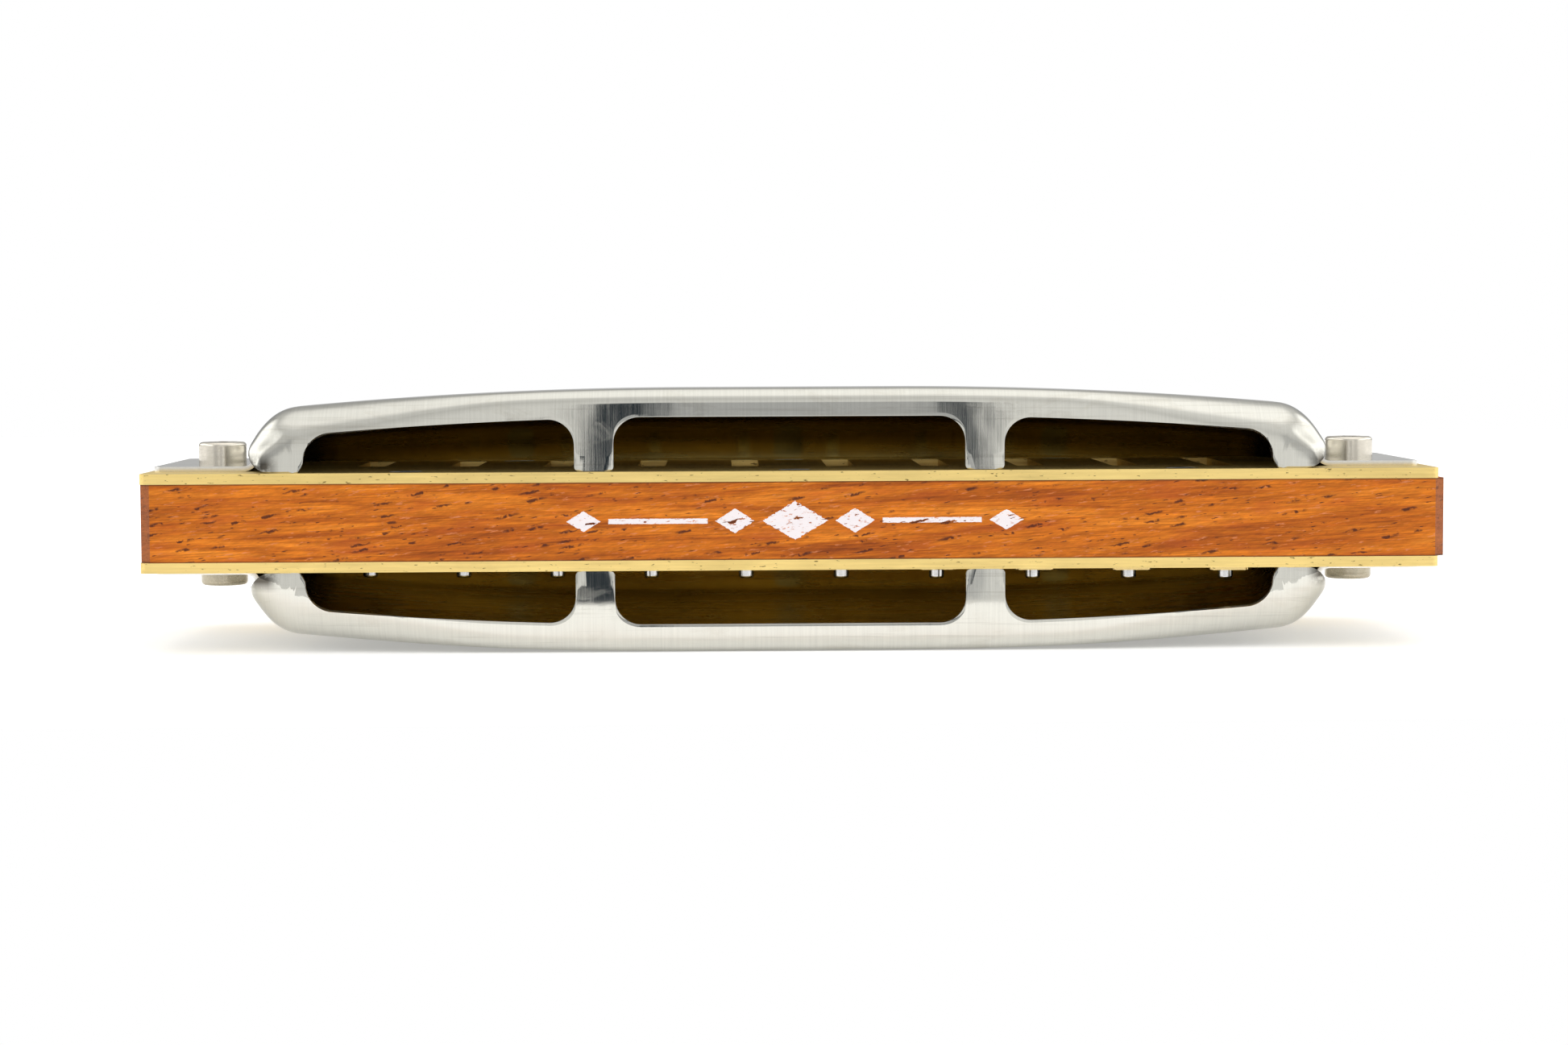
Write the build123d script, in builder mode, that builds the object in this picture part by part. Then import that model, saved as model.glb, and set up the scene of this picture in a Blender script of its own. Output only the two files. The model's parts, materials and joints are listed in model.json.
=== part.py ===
from build123d import *
from math import asin, cos, degrees, sin
import os

# A ten-hole diatonic harmonica: a wooden comb between two brass reed plates, each plate under
# a bent steel cover, all held by two long screws.
# +X runs along the instrument towards hole 1, +Y towards the player's mouth and +Z towards the
# blow reeds. The origin is the middle of the comb. The sound openings face -Y, the rear.

# Comb
COMB_LENGTH = 100.1
COMB_DEPTH = 27.4
COMB_THICKNESS = 6.0
COMB_CORNER = 0.8
COMB_MOUTH_ROUND = 0.6
HOLE_COUNT = 10
HOLE_PITCH = 7.5
HOLE_ROW_SHIFT = 0.3
CHANNEL_WIDTH = 5.0
CHANNEL_CORNER = 1.0

# Reed plates, flush with the comb's -X end and rear
PLATE_LENGTH = 99.6
PLATE_DEPTH = 27.0
PLATE_THICKNESS = 0.8
PLATE_CORNER = 0.5

# Reeds. Each is a thick riveted foot and a thin tongue, which swings through its slot. The gap
# at the root lets the tongue turn about its root line.
TONGUE_WIDTH = 2.1
TONGUE_THICKNESS = 0.2
SLOT_CLEARANCE = 0.06
ROOT_GAP = 0.03
FOOT_WIDTH = 3.1
FOOT_THICKNESS = 0.4
FOOT_BEFORE_RIVET = 1.1
FOOT_BEHIND_RIVET = 2.1
FOOT_CORNER = 0.15
DRAW_RIVET_DEPTH_FIRST = 4.6
DRAW_RIVET_DEPTH_LAST = 10.65
DRAW_TIP_DEPTH = 21.2
BLOW_ROOT_DEPTH = 20.6
CHAMBER_BEHIND_SLOT = 0.3
RIVET_RADIUS = 0.6
RIVET_STAND = 0.8
RIVET_ROUND = 0.2

# Covers, bent from one sheet: a crowned top that slopes to the mouth side, and rolled edges
SHEET = 0.4
COVER_HEIGHT = 6.35
COVER_HALF_LENGTH = 41.25
COVER_REAR_INSET = 0.5
COVER_DEPTH = 23.4
COVER_FLAT_HALF = 8.0
COVER_FLAT_DEPTH = 5.4
CROWN_RADIUS = 340.0
END_RADIUS = 3.6
SLOPE_RADIUS = 47.0
REAR_ROLL = 1.8
FRONT_ROLL = 2.6
UPPER_COVER_SHIFT = -0.15
LOWER_COVER_SHIFT = -0.1

# Sound openings in each cover's rear wall, and the rounded foot at each end of that wall
WINDOW_HEIGHT = 4.17
WINDOW_CORNER = 2.0
WINDOW_OUTER_CORNER = 2.2
MIDDLE_WINDOW_HALF = 13.5
SIDE_WINDOW_INNER = 16.5
SIDE_WINDOW_OUTER = 37.2
WINDOW_CUT_DEPTH = 3.6
END_FOOT_ROUND = 1.6

# End tabs, with the curl that joins them to the end walls
TAB_END = 49.2
TAB_REAR_INSET = 3.9
TAB_LENGTH = 16.1
TAB_CORNER = 0.5
TAB_CURL = 1.0
TAB_SLAB = 1.0
TAB_HOLE_RADIUS = 1.3

# Screws and nuts through the whole stack
SCREW_SPAN = 91.0
SCREW_DEPTH = 13.2
SCREW_HOLE_RADIUS = 1.1
SCREW_SHANK_RADIUS = 1.0
SCREW_HEAD_RADIUS = 1.9
SCREW_HEAD_HEIGHT = 1.6
SCREW_HEAD_ROUND = 0.3
SCREW_RECESS_LENGTH = 2.2
SCREW_RECESS_WIDTH = 0.5
SCREW_RECESS_DEPTH = 0.8
SCREW_RECESS_TURN = 20
NUT_RADIUS = 1.85
NUT_HEIGHT = 1.5
NUT_BORE_CLEARANCE = 0.02

# Small countersunk screws that hold each plate to the comb, in the walls between channels
PLATE_SCREW_LENGTH = 3.2
PLATE_SCREW_RADIUS = 0.7
PLATE_SCREW_HEAD_RADIUS = 1.3
PLATE_SCREW_SLOT_WIDTH = 0.35
PLATE_SCREW_SLOT_DEPTH = 0.25
PLATE_SCREW_SLOT_TURN = 20
PLATE_SCREW_FRONT_DEPTH = 21.7
PLATE_SCREW_REAR_DEPTH = 2.6

# A plate screw's slot is cut a little past its head's edge
SLOT_OVERRUN = 1.2
TOLERANCE = 0.001

REAR = -COMB_DEPTH / 2
PLATE_CENTRE_X = (PLATE_LENGTH - COMB_LENGTH) / 2
PLATE_INNER = COMB_THICKNESS / 2
PLATE_OUTER = PLATE_INNER + PLATE_THICKNESS
COVER_TOP = PLATE_OUTER + COVER_HEIGHT
SLOT_WIDTH = TONGUE_WIDTH + 2 * SLOT_CLEARANCE
HOLE_ROW_CENTRE = PLATE_CENTRE_X + HOLE_ROW_SHIFT

holes = range(HOLE_COUNT)
hole_x = [HOLE_ROW_CENTRE + (HOLE_COUNT / 2 - 0.5 - hole) * HOLE_PITCH for hole in holes]
rivet_step = (DRAW_RIVET_DEPTH_LAST - DRAW_RIVET_DEPTH_FIRST) / (HOLE_COUNT - 1)
draw_rivet_y = [REAR + DRAW_RIVET_DEPTH_FIRST + rivet_step * hole for hole in holes]
slot_rear_y = [y + FOOT_BEFORE_RIVET for y in draw_rivet_y]
draw_slot_front_y = REAR + DRAW_TIP_DEPTH + SLOT_CLEARANCE
blow_root_y = REAR + BLOW_ROOT_DEPTH
blow_rivet_y = blow_root_y + FOOT_BEFORE_RIVET

screw_spots = [(PLATE_CENTRE_X + side * SCREW_SPAN / 2, REAR + SCREW_DEPTH) for side in (-1, 1)]
front_screw_spots = [
    (HOLE_ROW_CENTRE + wall * HOLE_PITCH, REAR + PLATE_SCREW_FRONT_DEPTH) for wall in (-3, 0, 3)
]
rear_screw_spots = [
    (HOLE_ROW_CENTRE + wall * HOLE_PITCH, REAR + PLATE_SCREW_REAR_DEPTH) for wall in (-4, 0, 4)
]
plate_screw_spots = front_screw_spots + rear_screw_spots
tab_rear_y = REAR + TAB_REAR_INSET
tab_front_y = tab_rear_y + TAB_LENGTH

os.makedirs("parts", exist_ok=True)


def save(part, name):
    """Label a finished piece and write it as its own node."""
    part.label = name
    export_step(part, f"parts/{name}.step")


def cover_block(inset):
    """Solid under a cover's upper skin, or under its lower skin with the sheet as inset."""
    rear_y = REAR + COVER_REAR_INSET + inset
    front_y = REAR + COVER_REAR_INSET + COVER_DEPTH - inset
    slope_start_y = REAR + COVER_REAR_INSET + COVER_FLAT_DEPTH
    below_plate_z = PLATE_OUTER - COVER_HEIGHT
    crown_angle = asin(
        (COVER_HALF_LENGTH - END_RADIUS - COVER_FLAT_HALF) / (CROWN_RADIUS - END_RADIUS)
    )
    end_x = COVER_FLAT_HALF + (CROWN_RADIUS - END_RADIUS) * sin(crown_angle)
    end_z = COVER_TOP - CROWN_RADIUS + (CROWN_RADIUS - END_RADIUS) * cos(crown_angle)
    crown_turn = degrees(crown_angle)
    slope_turn = degrees(asin((front_y - slope_start_y) / (SLOPE_RADIUS - inset)))
    with BuildPart() as block:
        # The outline seen from the rear: flat, crowned, then rounded into the end walls
        with BuildSketch(Plane.XZ.offset(-rear_y)):
            with BuildLine():
                Line((0, COVER_TOP - inset), (COVER_FLAT_HALF, COVER_TOP - inset))
                CenterArc(
                    (COVER_FLAT_HALF, COVER_TOP - CROWN_RADIUS),
                    CROWN_RADIUS - inset,
                    90,
                    -crown_turn,
                )
                CenterArc((end_x, end_z), END_RADIUS - inset, 90 - crown_turn, crown_turn - 90)
                Polyline(
                    (end_x + END_RADIUS - inset, end_z),
                    (end_x + END_RADIUS - inset, below_plate_z),
                    (0, below_plate_z),
                )
                mirror(about=Plane.YZ)
            make_face()
        # It keeps facing the rear while it follows the top down towards the mouth side
        with BuildLine(Plane.YZ) as slope:
            Line((rear_y, COVER_TOP - inset), (slope_start_y, COVER_TOP - inset))
            CenterArc(
                (slope_start_y, COVER_TOP - SLOPE_RADIUS), SLOPE_RADIUS - inset, 90, -slope_turn
            )
        sweep(path=slope.wire(), normal=(0, 1, 0))
        rear_face = block.faces().sort_by(Axis.Y)[0]
        fillet(rear_face.edges().sort_by(Axis.Z)[1:], REAR_ROLL - inset)
        front_face = block.faces().sort_by(Axis.Y)[-1]
        fillet(front_face.edges().sort_by(Axis.Z)[1:], FRONT_ROLL - inset)
        # The end tabs' slab, whose face curls up into the end walls, as the sheet does
        slab_face = PLATE_OUTER + SHEET - inset
        with BuildSketch(Plane.XY.offset(slab_face)):
            with Locations((0, (tab_rear_y + tab_front_y) / 2)):
                RectangleRounded(2 * TAB_END, TAB_LENGTH, TAB_CORNER)
        extrude(amount=-TAB_SLAB)
        wall_feet = [
            edge
            for edge in block.faces().filter_by(Plane.XY).edges()
            if abs(edge.center().Z - slab_face) < TOLERANCE
            and abs(edge.center().X) < COVER_HALF_LENGTH + TOLERANCE
            and tab_rear_y + TOLERANCE < edge.center().Y < tab_front_y - TOLERANCE
        ]
        fillet(wall_feet, TAB_CURL + inset)
        split(bisect_by=Plane.XY.offset(PLATE_OUTER), keep=Keep.TOP)
    return block.part


def window_edge_height(x):
    """Height of a sound opening's upper edge above the plate: it follows the crown."""
    beyond_flat = max(abs(x) - COVER_FLAT_HALF, 0)
    return WINDOW_HEIGHT - beyond_flat**2 / (2 * CROWN_RADIUS)


# Comb: ten channels, open at the mouth side and to both plates
with BuildPart() as comb:
    Box(COMB_LENGTH, COMB_DEPTH, COMB_THICKNESS)
    chamfer(comb.edges().filter_by(Axis.Z), COMB_CORNER)
    for hole in holes:
        chamber_rear_y = slot_rear_y[hole] - CHAMBER_BEHIND_SLOT
        chamber_length = COMB_DEPTH / 2 - chamber_rear_y
        with BuildSketch(Plane.XY.offset(-COMB_THICKNESS / 2)) as channel:
            with Locations((hole_x[hole], chamber_rear_y + chamber_length / 2)):
                Rectangle(CHANNEL_WIDTH, chamber_length)
            fillet(channel.vertices().group_by(Axis.Y)[0], CHANNEL_CORNER)
        extrude(amount=COMB_THICKNESS, mode=Mode.SUBTRACT)
    mouth_edges = comb.faces().sort_by(Axis.Y)[-HOLE_COUNT - 1 :].edges().filter_by(Axis.X)
    fillet(mouth_edges, COMB_MOUTH_ROUND)
    with Locations(*screw_spots):
        Hole(SCREW_HOLE_RADIUS)
    for side in (-1, 1):
        with BuildSketch(Plane.XY.offset(side * COMB_THICKNESS / 2)):
            with Locations(*plate_screw_spots):
                Circle(PLATE_SCREW_RADIUS)
        extrude(amount=-side * (PLATE_SCREW_LENGTH - PLATE_THICKNESS), mode=Mode.SUBTRACT)
save(comb.part, "comb")


def reed_plate(side, slots, rivet_spots):
    """Brass plate above (side 1) or below (side -1) the comb, slotted for its reeds."""
    outer_face = Plane(origin=(0, 0, side * PLATE_OUTER), x_dir=(1, 0, 0), z_dir=(0, 0, side))
    with BuildPart() as plate:
        with BuildSketch(Plane.XY.offset(side * PLATE_INNER)):
            with Locations((PLATE_CENTRE_X, REAR + PLATE_DEPTH / 2)):
                RectangleRounded(PLATE_LENGTH, PLATE_DEPTH, PLATE_CORNER)
            with Locations(*screw_spots):
                Circle(SCREW_HOLE_RADIUS, mode=Mode.SUBTRACT)
            with Locations(*rivet_spots):
                Circle(RIVET_RADIUS, mode=Mode.SUBTRACT)
            for x, rear_y, front_y in slots:
                with Locations((x, (rear_y + front_y) / 2)):
                    Rectangle(SLOT_WIDTH, front_y - rear_y, mode=Mode.SUBTRACT)
        extrude(amount=side * PLATE_THICKNESS)
        # On the lower plate's outer face the local Y axis points to the rear
        with Locations(outer_face):
            with Locations(*[(x, side * y) for x, y in plate_screw_spots]):
                CounterSinkHole(PLATE_SCREW_RADIUS, PLATE_SCREW_HEAD_RADIUS, PLATE_THICKNESS)
    return plate.part


blow_slots = [(hole_x[hole], slot_rear_y[hole], blow_root_y) for hole in holes]
draw_slots = [(hole_x[hole], slot_rear_y[hole], draw_slot_front_y) for hole in holes]
blow_rivet_spots = [(hole_x[hole], blow_rivet_y) for hole in holes]
draw_rivet_spots = [(hole_x[hole], draw_rivet_y[hole]) for hole in holes]
save(reed_plate(1, blow_slots, blow_rivet_spots), "blow_reed_plate")
save(reed_plate(-1, draw_slots, draw_rivet_spots), "draw_reed_plate")


def reed_foot(x, root_y, towards_tip, plate_face):
    """Thick end of a reed, on the lower side of a plate face, with its rivet hole."""
    root_to_end = FOOT_BEFORE_RIVET + FOOT_BEHIND_RIVET
    with BuildPart() as foot:
        with BuildSketch(Plane.XY.offset(plate_face)):
            with Locations((x, root_y - towards_tip * root_to_end / 2)):
                RectangleRounded(FOOT_WIDTH, root_to_end, FOOT_CORNER)
            with Locations((x, root_y - towards_tip * FOOT_BEFORE_RIVET)):
                Circle(RIVET_RADIUS, mode=Mode.SUBTRACT)
        extrude(amount=-FOOT_THICKNESS)
    return foot.part


def reed_tongue(x, root_y, tip_y, plate_face):
    """Thin swinging end of a reed, level with the plate face that its foot lies on."""
    with BuildPart() as tongue:
        with BuildSketch(Plane.XY.offset(plate_face)):
            with Locations((x, (root_y + tip_y) / 2)):
                Rectangle(TONGUE_WIDTH, abs(tip_y - root_y))
        extrude(amount=-TONGUE_THICKNESS)
    return tongue.part


# Blow reeds hang under the upper plate, inside the channels, with their tips to the rear.
# Draw reeds lie under the lower plate, outside the comb, with their tips to the mouth side.
for hole in holes:
    blow_name = f"blow_reed_{hole + 1}"
    draw_name = f"draw_reed_{hole + 1}"
    x = hole_x[hole]
    blow_tip_y = slot_rear_y[hole] + SLOT_CLEARANCE
    draw_tip_y = draw_slot_front_y - SLOT_CLEARANCE
    blow_tongue_root_y = blow_root_y - ROOT_GAP
    draw_tongue_root_y = slot_rear_y[hole] + ROOT_GAP
    save(reed_foot(x, blow_root_y, -1, PLATE_INNER), f"{blow_name}_foot")
    save(reed_tongue(x, blow_tongue_root_y, blow_tip_y, PLATE_INNER), blow_name)
    save(reed_foot(x, slot_rear_y[hole], 1, -PLATE_OUTER), f"{draw_name}_foot")
    save(reed_tongue(x, draw_tongue_root_y, draw_tip_y, -PLATE_OUTER), draw_name)


def reed_rivets(spots, upper_z):
    """One rivet for each foot: flush above the plate, with a rounded end under the foot."""
    length = PLATE_THICKNESS + FOOT_THICKNESS + RIVET_STAND
    with BuildPart() as rivets:
        with BuildSketch(Plane.XY.offset(upper_z)):
            with Locations(*spots):
                Circle(RIVET_RADIUS)
        extrude(amount=-length)
        lower_ends = rivets.edges().filter_by(GeomType.CIRCLE).group_by(Axis.Z)[0]
        fillet(lower_ends, RIVET_ROUND)
    return rivets.part


save(reed_rivets(blow_rivet_spots, PLATE_OUTER), "blow_reed_rivets")
save(reed_rivets(draw_rivet_spots, -PLATE_INNER), "draw_reed_rivets")

# Cover: the lower block is taken out of the upper one, which leaves the sheet
cavity = cover_block(SHEET)
with BuildPart() as cover:
    add(cover_block(0))
    add(cavity, mode=Mode.SUBTRACT)
    # Sound openings through the rolled rear wall, with rounded upper corners
    with BuildSketch(Plane.XZ.offset(-REAR)) as middle_window:
        with Locations((0, PLATE_OUTER + WINDOW_HEIGHT / 2)):
            Rectangle(2 * MIDDLE_WINDOW_HALF, WINDOW_HEIGHT)
        fillet(middle_window.vertices().group_by(Axis.Y)[-1], WINDOW_CORNER)
    extrude(amount=-WINDOW_CUT_DEPTH, mode=Mode.SUBTRACT)
    inner_top = (SIDE_WINDOW_INNER, PLATE_OUTER + window_edge_height(SIDE_WINDOW_INNER))
    outer_top = (SIDE_WINDOW_OUTER, PLATE_OUTER + window_edge_height(SIDE_WINDOW_OUTER))
    with BuildSketch(Plane.XZ.offset(-REAR)) as side_windows:
        with BuildLine():
            RadiusArc(inner_top, outer_top, CROWN_RADIUS)
            Polyline(
                outer_top,
                (SIDE_WINDOW_OUTER, PLATE_OUTER),
                (SIDE_WINDOW_INNER, PLATE_OUTER),
                inner_top,
            )
        make_face()
        inner_corner = side_windows.vertices().group_by(Axis.X)[0].sort_by(Axis.Y)[-1]
        fillet(inner_corner, WINDOW_CORNER)
        outer_corner = side_windows.vertices().group_by(Axis.X)[-1].sort_by(Axis.Y)[-1]
        fillet(outer_corner, WINDOW_OUTER_CORNER)
        mirror(about=Plane.YZ)
    extrude(amount=-WINDOW_CUT_DEPTH, mode=Mode.SUBTRACT)
    # Rounded lower corner at each end of the rear wall, which leaves a notch beside the tab
    foot_x = COVER_HALF_LENGTH - END_FOOT_ROUND
    for side in (-1, 1):
        with BuildSketch(Plane.XZ.offset(-REAR)):
            with Locations((side * (foot_x + END_FOOT_ROUND), PLATE_OUTER)):
                Rectangle(2 * END_FOOT_ROUND, 2 * END_FOOT_ROUND)
            with Locations((side * foot_x, PLATE_OUTER + END_FOOT_ROUND)):
                Circle(END_FOOT_ROUND, mode=Mode.SUBTRACT)
        extrude(amount=-TAB_REAR_INSET, mode=Mode.SUBTRACT)
    with Locations(*[(x - PLATE_CENTRE_X, y) for x, y in screw_spots]):
        Hole(TAB_HOLE_RADIUS)

# The lower cover is the same pressing turned over about the depth axis. Each sits a little to
# one side, within the play of its screw holes.
with BuildPart() as upper_cover:
    add(Pos(PLATE_CENTRE_X + UPPER_COVER_SHIFT, 0, 0) * cover.part)
save(upper_cover.part, "upper_cover")
with BuildPart() as lower_cover:
    add(Pos(PLATE_CENTRE_X + LOWER_COVER_SHIFT, 0, 0) * Rot(0, 180, 0) * cover.part)
save(lower_cover.part, "lower_cover")

# Long screws, with cylindrical heads on the upper tabs and a cross recess in each head
tab_face = PLATE_OUTER + SHEET
head_top = tab_face + SCREW_HEAD_HEIGHT
with BuildPart() as cover_screws:
    with BuildSketch(Plane.XY.offset(-tab_face - NUT_HEIGHT)):
        with Locations(*screw_spots):
            Circle(SCREW_SHANK_RADIUS)
    extrude(amount=2 * tab_face + NUT_HEIGHT)
    with BuildSketch(Plane.XY.offset(tab_face)):
        with Locations(*screw_spots):
            Circle(SCREW_HEAD_RADIUS)
    extrude(amount=SCREW_HEAD_HEIGHT)
    fillet(cover_screws.edges().filter_by(GeomType.CIRCLE).group_by(Axis.Z)[-1], SCREW_HEAD_ROUND)
    with BuildSketch(Plane.XY.offset(head_top)):
        with Locations(*screw_spots):
            for turn in (SCREW_RECESS_TURN, SCREW_RECESS_TURN + 90):
                Rectangle(SCREW_RECESS_LENGTH, SCREW_RECESS_WIDTH, rotation=turn)
    extrude(amount=-SCREW_RECESS_DEPTH, mode=Mode.SUBTRACT)
save(cover_screws.part, "cover_screws")

# Round nuts under the lower tabs
with BuildPart() as cover_nuts:
    with BuildSketch(Plane.XY.offset(-tab_face)):
        with Locations(*screw_spots):
            Circle(NUT_RADIUS)
            Circle(SCREW_SHANK_RADIUS + NUT_BORE_CLEARANCE, mode=Mode.SUBTRACT)
    extrude(amount=-NUT_HEIGHT)
    lower_rims = cover_nuts.edges().filter_by(GeomType.CIRCLE).group_by(Axis.Z)[0]
    outer_rims = [rim for rim in lower_rims if rim.radius > NUT_RADIUS - TOLERANCE]
    fillet(outer_rims, SCREW_HEAD_ROUND)
save(cover_nuts.part, "cover_nuts")


def plate_screws(side):
    """Countersunk screws, flush in the plate's outer face, with a straight slot."""
    cone = PLATE_SCREW_HEAD_RADIUS - PLATE_SCREW_RADIUS
    slot_length = 2 * PLATE_SCREW_HEAD_RADIUS * SLOT_OVERRUN
    with BuildPart() as screws:
        for x, y in plate_screw_spots:
            half_section = Plane(
                origin=(x, y, side * PLATE_OUTER), x_dir=(1, 0, 0), z_dir=(0, -1, 0)
            )
            with BuildSketch(half_section):
                with BuildLine():
                    Polyline(
                        (0, 0),
                        (PLATE_SCREW_HEAD_RADIUS, 0),
                        (PLATE_SCREW_RADIUS, -side * cone),
                        (PLATE_SCREW_RADIUS, -side * PLATE_SCREW_LENGTH),
                        (0, -side * PLATE_SCREW_LENGTH),
                        close=True,
                    )
                make_face()
            revolve(axis=Axis((x, y, 0), (0, 0, 1)))
        with BuildSketch(Plane.XY.offset(side * PLATE_OUTER)):
            with Locations(*plate_screw_spots):
                Rectangle(slot_length, PLATE_SCREW_SLOT_WIDTH, rotation=PLATE_SCREW_SLOT_TURN)
        extrude(amount=-side * PLATE_SCREW_SLOT_DEPTH, mode=Mode.SUBTRACT)
    return screws.part


save(plate_screws(1), "upper_plate_screws")
save(plate_screws(-1), "lower_plate_screws")
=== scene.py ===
import json
import math

import bmesh
import bpy
from mathutils import Matrix, Vector


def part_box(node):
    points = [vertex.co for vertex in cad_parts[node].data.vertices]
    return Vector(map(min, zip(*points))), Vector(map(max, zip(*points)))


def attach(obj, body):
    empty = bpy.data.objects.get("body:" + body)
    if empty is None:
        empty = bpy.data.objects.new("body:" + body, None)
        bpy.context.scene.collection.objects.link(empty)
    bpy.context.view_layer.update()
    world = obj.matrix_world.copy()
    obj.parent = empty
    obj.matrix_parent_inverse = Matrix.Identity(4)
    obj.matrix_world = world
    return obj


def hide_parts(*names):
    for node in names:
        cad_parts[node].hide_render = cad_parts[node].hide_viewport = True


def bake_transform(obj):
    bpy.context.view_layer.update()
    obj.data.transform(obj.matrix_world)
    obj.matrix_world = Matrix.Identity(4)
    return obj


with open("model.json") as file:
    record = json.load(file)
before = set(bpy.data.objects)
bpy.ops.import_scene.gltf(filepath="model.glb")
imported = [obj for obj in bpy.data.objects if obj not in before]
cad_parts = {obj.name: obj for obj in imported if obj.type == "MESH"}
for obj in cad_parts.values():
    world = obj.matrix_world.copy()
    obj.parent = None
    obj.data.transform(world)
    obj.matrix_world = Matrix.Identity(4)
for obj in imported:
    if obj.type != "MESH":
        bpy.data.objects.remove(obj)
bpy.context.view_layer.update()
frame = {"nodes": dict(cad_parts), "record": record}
nodes = frame["nodes"]
scene = bpy.context.scene

MM = 0.001
HOLES = range(1, 11)
DEGREES_PER_RADIAN = 57.3


# ---------------------------------------------------------------- materials


class Graph:
    """The node graph of one material or world, built a node at a time."""

    def __init__(self, tree):
        self.tree = tree

    def add(self, kind, inputs=None, **settings):
        node = self.tree.nodes.new(kind)
        for name, value in settings.items():
            setattr(node, name, value)
        for key, value in (inputs or {}).items():
            socket = node.inputs[key]
            if isinstance(value, bpy.types.NodeSocket):
                self.tree.links.new(value, socket)
            else:
                socket.default_value = value
        return node

    def math(self, operation, first, second=0.0, clamp=False):
        node = self.add("ShaderNodeMath", {0: first, 1: second}, operation=operation)
        node.use_clamp = clamp
        return node.outputs[0]

    def mix(self, factor, first, second, blend="MIX"):
        node = self.add("ShaderNodeMix", data_type="RGBA", blend_type=blend)
        for index, value in ((0, factor), (6, first), (7, second)):
            if isinstance(value, bpy.types.NodeSocket):
                self.tree.links.new(value, node.inputs[index])
            elif index == 0:
                node.inputs[0].default_value = value
            else:
                node.inputs[index].default_value = (*value, 1.0)
        return node.outputs[2]

    def ramp(self, factor, stops):
        node = self.add("ShaderNodeValToRGB", {"Fac": factor})
        elements = node.color_ramp.elements
        while len(elements) < len(stops):
            elements.new(0.5)
        for element, (place, colour) in zip(elements, stops):
            element.position = place
            if isinstance(colour, (int, float)):
                colour = (colour, colour, colour)
            element.color = (*colour, 1.0)
        return node.outputs["Color"]

    def coordinates(self, per_mm, turn=(0, 0, 0), shift=(0, 0, 0)):
        """Object coordinates turned and scaled, so that one unit is 1 / per_mm millimetres."""
        place = self.add("ShaderNodeTexCoord").outputs["Object"]
        turned = self.add(
            "ShaderNodeMapping",
            {"Vector": place, "Rotation": [math.radians(a) for a in turn]},
        ).outputs[0]
        scale = [value / MM for value in per_mm]
        return self.add(
            "ShaderNodeMapping", {"Vector": turned, "Scale": scale, "Location": shift}
        ).outputs[0]

    def noise(self, vector, detail=3.0, roughness=0.5, distortion=0.0):
        return self.add(
            "ShaderNodeTexNoise",
            {
                "Vector": vector,
                "Scale": 1.0,
                "Detail": detail,
                "Roughness": roughness,
                "Distortion": distortion,
            },
        ).outputs["Fac"]

    def bump(self, height, distance_mm, strength=1.0, normal=None):
        inputs = {"Height": height, "Distance": distance_mm * MM, "Strength": strength}
        if normal is not None:
            inputs["Normal"] = normal
        return self.add("ShaderNodeBump", inputs).outputs[0]


def new_material(name, **fixed):
    """A material with one Principled shader, whose fixed values are set on its sockets."""
    material = bpy.data.materials.new(name)
    material.use_nodes = True
    tree = material.node_tree
    tree.nodes.clear()
    graph = Graph(tree)
    output = graph.add("ShaderNodeOutputMaterial")
    shader = graph.add("ShaderNodeBsdfPrincipled")
    tree.links.new(shader.outputs[0], output.inputs[0])
    for key, value in fixed.items():
        shader.inputs[key.replace("_", " ")].default_value = value
    return material, graph, shader


def feed(graph, shader, **sources):
    """Link node outputs into the shader's sockets."""
    for key, value in sources.items():
        graph.tree.links.new(value, shader.inputs[key.replace("_", " ")])


def distances(g):
    """How far a point is from the middle along each axis, in mm, and its depth along y."""
    place = g.add("ShaderNodeTexCoord").outputs["Object"]
    axes = g.add("ShaderNodeSeparateXYZ", {0: place}).outputs
    sideways, height = (g.math("ABSOLUTE", g.math("DIVIDE", axes[i], MM)) for i in (0, 2))
    return sideways, g.math("DIVIDE", axes[1], MM), height


def above(g, value, start, end):
    """0 at start and 1 at end, clamped. With end below start it falls instead."""
    past = g.math("SUBTRACT", value, start)
    return g.math("DIVIDE", past, end - start, clamp=True)


def inner_end_darkening(g, base):
    """Darker inside a cover, towards its ends."""
    sideways, _, _ = distances(g)
    return g.mix(above(g, sideways, 37.5, 39.5), base, (0.045, 0.040, 0.034))


def crease_painted_shade(g, base):
    """Painted shade in the creases where a cover's rear ends meet the reed plate and the tab."""
    sideways, depth, height = distances(g)
    mask = g.math("MULTIPLY", above(g, sideways, 39.4, 40.4), above(g, sideways, 42.8, 41.8))
    mask = g.math("MULTIPLY", mask, above(g, height, 5.4, 4.5))
    mask = g.math("MULTIPLY", mask, above(g, depth, -5.5, -8.5))
    ragged = g.noise(g.coordinates((1.5, 1.5, 1.5), shift=(6, 6, 6)), 3.0, 0.6)
    mask = g.math("MULTIPLY", mask, above(g, ragged, 0.25, 0.5))
    return g.mix(g.math("MULTIPLY", mask, 0.9), base, (0.050, 0.040, 0.028))


# The right half of the ornament, in mm from its middle. Each lozenge has its centre, half its
# width and half its height, and the rule its centre, half its length and half its height.
LOZENGES = ((0.0, 2.5, 1.5), (4.6, 1.5, 0.95), (16.2, 1.3, 0.8))
RULE = (10.5, 3.8, 0.2)


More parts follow.
